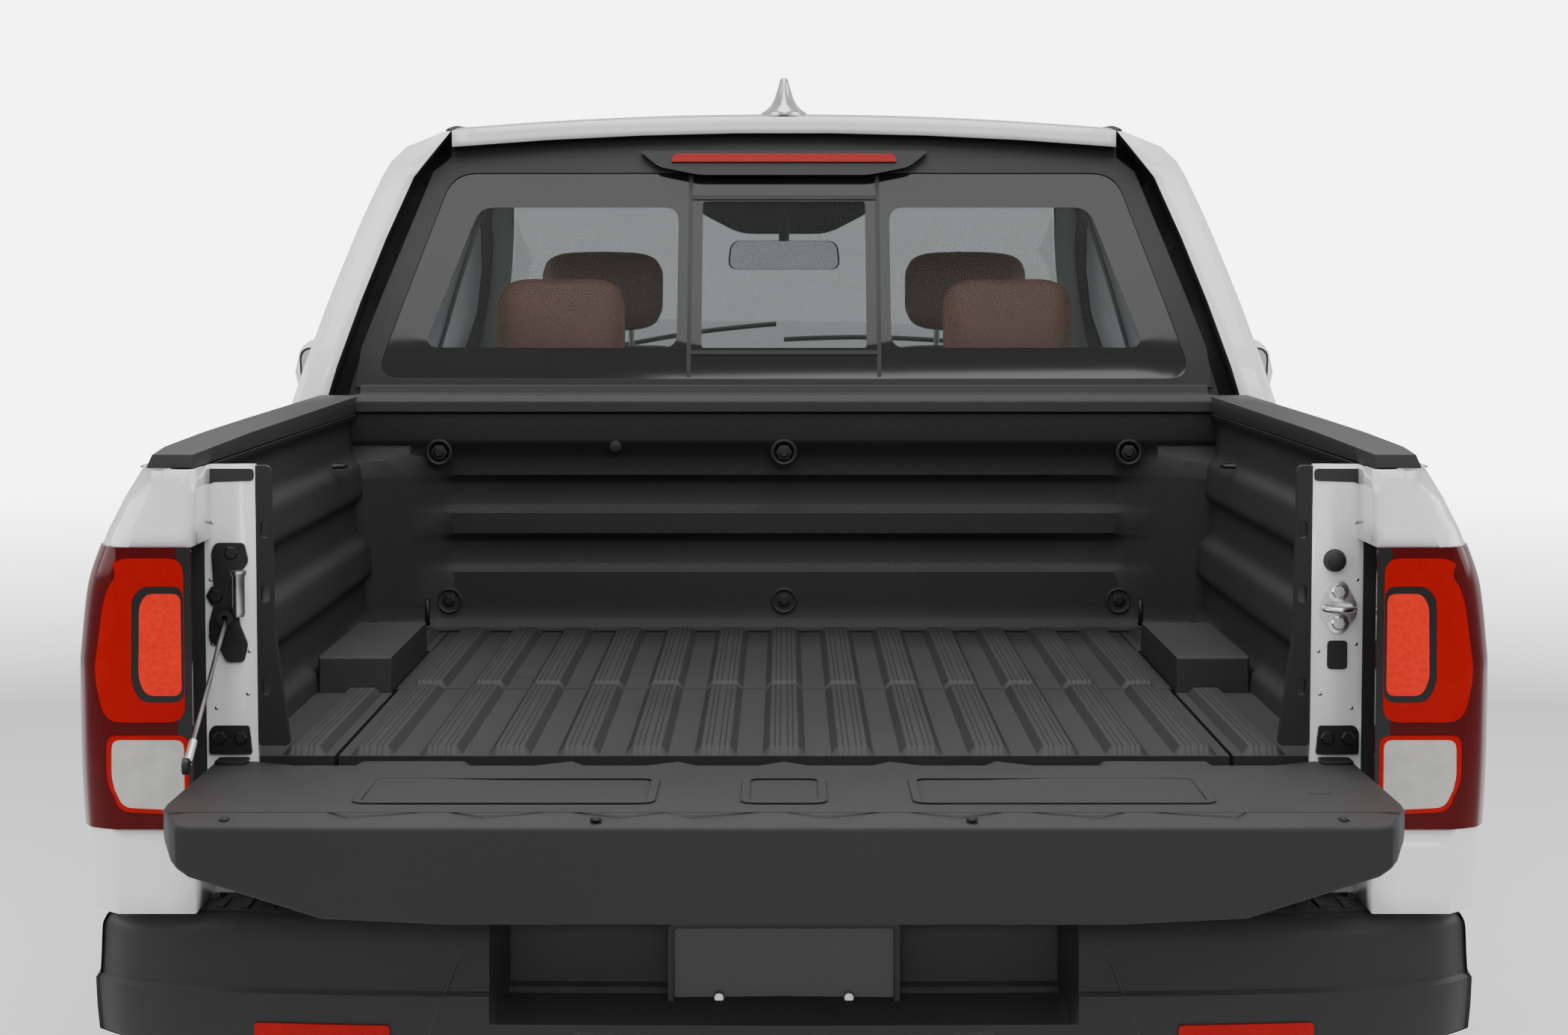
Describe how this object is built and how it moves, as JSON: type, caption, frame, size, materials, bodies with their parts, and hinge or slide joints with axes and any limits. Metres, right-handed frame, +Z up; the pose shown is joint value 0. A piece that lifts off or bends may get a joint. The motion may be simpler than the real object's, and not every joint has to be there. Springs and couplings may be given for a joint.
{
  "type": "crew-cab pickup truck",
  "caption": "Unibody crew-cab pickup truck, tailgate lowered: ribbed composite bed with trunk lid, hollow cab, opening doors and hood, steered front wheels.",
  "frame": {"origin": "on the ground, at the middle of the truck's box with the tailgate open", "axes": "+Y the way the truck drives, +X its right-hand side, +Z up"},
  "size_m": [2.3164, 5.63, 1.8491],
  "materials": {
    "body_paint": "gloss",
    "glass": "gloss",
    "red_lens": "gloss",
    "clear_lens": "gloss",
    "bed_composite": "textured matte",
    "tyre": "matte",
    "wheel_alloy": "satin",
    "seat_leather": "satin",
    "black_trim": "matte",
    "bare_steel": "satin",
    "chassis_steel": "matte"
  },
  "bodies": {
    "root": {"bedside_left": "body_paint", "bedside_right": "body_paint", "tail_light_left": "red_lens", "tail_light_right": "red_lens", "wheelhouse_left": "bed_composite", "wheelhouse_right": "bed_composite", "bed_rail_caps": "black_trim", "bed_floor": "bed_composite", "trunk_bin": "bed_composite", "bed_liner": "bed_composite", "rear_bumper": "black_trim", "cab_side_left": "body_paint", "cab_side_right": "body_paint", "cab_back": "black_trim", "rear_window": "glass", "roof": "body_paint", "windscreen": "glass", "cab_floor": "chassis_steel", "dashboard": "black_trim", "front_seat_left": "seat_leather", "front_seat_right": "seat_leather", "rear_bench": "seat_leather", "fender_left": "body_paint", "fender_right": "body_paint", "front_structure": "chassis_steel", "front_bumper": "body_paint", "grille": "black_trim", "headlight_left": "clear_lens", "headlight_right": "clear_lens", "engine_block": "chassis_steel", "rear_rails": "chassis_steel", "rear_axle": "chassis_steel", "front_subframe": "chassis_steel", "exhaust": "bare_steel", "tailgate_cable": "bare_steel"},
    "tailgate": {"tailgate": "body_paint"},
    "trunk_lid": {"trunk_lid": "bed_composite"},
    "hood": {"hood": "body_paint"},
    "steering_wheel": {"steering_wheel": "black_trim"},
    "front_door_left": {"front_door_left": "body_paint", "front_door_glass_left": "glass", "mirror_left": "body_paint"},
    "front_door_right": {"front_door_right": "body_paint", "front_door_glass_right": "glass", "mirror_right": "body_paint"},
    "rear_door_left": {"rear_door_left": "body_paint", "rear_door_glass_left": "glass"},
    "rear_door_right": {"rear_door_right": "body_paint", "rear_door_glass_right": "glass"},
    "front_knuckle_left": {"front_knuckle_left": "chassis_steel"},
    "front_knuckle_right": {"front_knuckle_right": "chassis_steel"},
    "front_wheel_left": {"front_tyre_left": "tyre", "front_rim_left": "wheel_alloy"},
    "front_wheel_right": {"front_tyre_right": "tyre", "front_rim_right": "wheel_alloy"},
    "rear_wheel_left": {"rear_tyre_left": "tyre", "rear_rim_left": "wheel_alloy"},
    "rear_wheel_right": {"rear_tyre_right": "tyre", "rear_rim_right": "wheel_alloy"}
  },
  "joints": [
    {"name": "tailgate_hinge", "type": "hinge", "parent": "root", "child": "tailgate", "pos_m": [0, -2.37, 0.755], "axis": [-1, 0, 0], "range_deg": [0, 90], "deforming": ["tailgate_cable"]},
    {"name": "trunk_lid_hinge", "type": "hinge", "parent": "root", "child": "trunk_lid", "pos_m": [0, -1.55, 0.812], "axis": [-1, 0, 0], "range_deg": [0, 68]},
    {"name": "hood_hinge", "type": "hinge", "parent": "root", "child": "hood", "pos_m": [0, 1.51, 1.14434], "axis": [1, 0, 0], "range_deg": [0, 50]},
    {"name": "front_door_left_hinge", "type": "hinge", "parent": "root", "child": "front_door_left", "pos_m": [-0.97154, 1.339, 0.8], "axis": [0, 0, -1], "range_deg": [0, 65]},
    {"name": "front_door_right_hinge", "type": "hinge", "parent": "root", "child": "front_door_right", "pos_m": [0.97154, 1.339, 0.8], "axis": [0, 0, 1], "range_deg": [0, 65]},
    {"name": "rear_door_left_hinge", "type": "hinge", "parent": "root", "child": "rear_door_left", "pos_m": [-0.97238, 0.404, 0.8], "axis": [0, 0, -1], "range_deg": [0, 62]},
    {"name": "rear_door_right_hinge", "type": "hinge", "parent": "root", "child": "rear_door_right", "pos_m": [0.97238, 0.404, 0.8], "axis": [0, 0, 1], "range_deg": [0, 62]},
    {"name": "steer_left", "type": "hinge", "parent": "root", "child": "front_knuckle_left", "pos_m": [-0.845, 1.85, 0.3755], "axis": [0, 0, 1], "range_deg": [-32, 32]},
    {"name": "steer_right", "type": "hinge", "parent": "root", "child": "front_knuckle_right", "pos_m": [0.845, 1.85, 0.3755], "axis": [0, 0, 1], "range_deg": [-32, 32]},
    {"name": "steering_wheel_turn", "type": "hinge", "parent": "root", "child": "steering_wheel", "pos_m": [-0.38, 0.78, 0.985], "axis": [0, -0.9063, 0.4226], "range_deg": [-450, 450]},
    {"name": "front_wheel_left_spin", "type": "hinge", "parent": "front_knuckle_left", "child": "front_wheel_left", "pos_m": [-0.845, 1.85, 0.3755], "axis": [1, 0, 0], "continuous": true},
    {"name": "front_wheel_right_spin", "type": "hinge", "parent": "front_knuckle_right", "child": "front_wheel_right", "pos_m": [0.845, 1.85, 0.3755], "axis": [1, 0, 0], "continuous": true},
    {"name": "rear_wheel_left_spin", "type": "hinge", "parent": "root", "child": "rear_wheel_left", "pos_m": [-0.845, -1.33, 0.3755], "axis": [1, 0, 0], "continuous": true},
    {"name": "rear_wheel_right_spin", "type": "hinge", "parent": "root", "child": "rear_wheel_right", "pos_m": [0.845, -1.33, 0.3755], "axis": [1, 0, 0], "continuous": true}
  ],
  "couplings": [
    {"joint": "steer_right", "follows": "steer_left", "ratio": 1},
    {"joint": "steering_wheel_turn", "follows": "steer_left", "ratio": 14}
  ]
}
